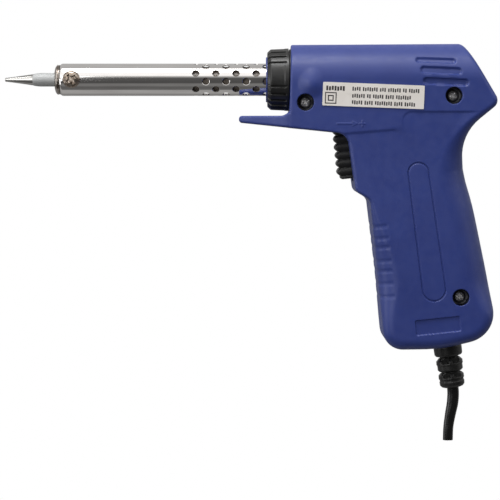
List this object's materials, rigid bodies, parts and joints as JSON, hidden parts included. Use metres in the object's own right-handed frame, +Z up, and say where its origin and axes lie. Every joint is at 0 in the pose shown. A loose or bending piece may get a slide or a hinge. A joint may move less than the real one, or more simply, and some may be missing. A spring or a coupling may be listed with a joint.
{
  "type": "soldering iron",
  "caption": "Pistol-grip electric soldering iron with a vented chromed barrel, conical tip, boost trigger and strain-relieved mains cord.",
  "frame": {"origin": "centre of the end of the soldering tip, on the barrel axis", "axes": "+X runs back along the barrel from the tip to the handle; +Z is up, with the grip hanging towards -Z; +Y is the user's right-hand side"},
  "size_m": [0.2245, 0.0362, 0.1832],
  "materials": {
    "blue_casing": "lightly textured moulded plastic",
    "black_plastic": "satin moulded plastic",
    "chrome": "bright nickel or chrome plate",
    "steel": "plain plated steel",
    "plated_tip": "iron-plated copper, polished cone and frosted shank",
    "ceramic": null,
    "nichrome": "resistance wire",
    "mica": null,
    "brass": "plain brass",
    "black_rubber": "flexible moulded PVC",
    "blue_wire": "insulated core",
    "brown_wire": "insulated core",
    "sleeving": "glass-fibre sleeving",
    "label": null
  },
  "bodies": {
    "handle": {"casing_left": "blue_casing", "casing_right": "blue_casing", "casing_screw_front": "steel", "casing_screw_rear": "steel", "casing_screw_lower": "steel", "barrel_tube": "chrome", "barrel_flange": "steel", "front_cap": "chrome", "heater_bobbin": "ceramic", "heater_winding_boost": "nichrome", "heater_winding_main": "nichrome", "mica_sleeve": "mica", "lead_bushing": "ceramic", "heater_lead_common": "sleeving", "heater_lead_main": "sleeving", "heater_lead_boost": "sleeving", "terminal_block": "ceramic", "terminal_screw_common": "brass", "terminal_screw_main": "brass", "terminal_screw_boost": "brass", "core_neutral": "blue_wire", "core_live": "brown_wire", "trigger_spring": "steel", "switch_housing": "black_plastic", "switch_cover": "black_plastic", "switch_terminal_upper": "brass", "switch_terminal_lower": "brass", "strain_relief": "black_rubber", "cord_clamp": "black_plastic", "cord_clamp_screw_front": "steel", "cord_clamp_screw_rear": "steel", "cord_inner": "black_rubber", "rating_label": "label"},
    "nut": {"collar_nut": "black_plastic"},
    "trigger": {"trigger": "black_plastic", "switch_plunger": "black_plastic", "moving_contact": "brass"},
    "tip": {"soldering_tip": "plated_tip"},
    "tip_screw": {"tip_screw": "steel"},
    "cord": {"cord_tail": "black_rubber"}
  },
  "joints": [
    {"name": "trigger_press", "type": "slide", "parent": "handle", "child": "trigger", "axis": [0.9945, 0, 0.1045], "range_m": [0, 0.004], "stiffness_N_per_m": 900, "springref_m": -0.003, "deforming": ["trigger_spring"]},
    {"name": "collar_nut_turn", "type": "hinge", "parent": "handle", "child": "nut", "pos_m": [0.1256, 0, 0], "axis": [-1, 0, 0], "range_deg": [0, 1080]},
    {"name": "tip_screw_turn", "type": "hinge", "parent": "handle", "child": "tip_screw", "pos_m": [0.03115, -0.008, 0], "axis": [0, -1, 0], "range_deg": [0, 720]},
    {"name": "tip_slide", "type": "slide", "parent": "handle", "child": "tip", "axis": [-1, 0, 0], "range_m": [0, 0.072]},
    {"name": "cord_flex", "type": "hinge", "parent": "handle", "child": "cord", "pos_m": [0.20648, 0, -0.14], "axis": [0, 1, 0], "range_deg": [-20, 20], "stiffness_Nm_per_rad": 0.05}
  ]
}
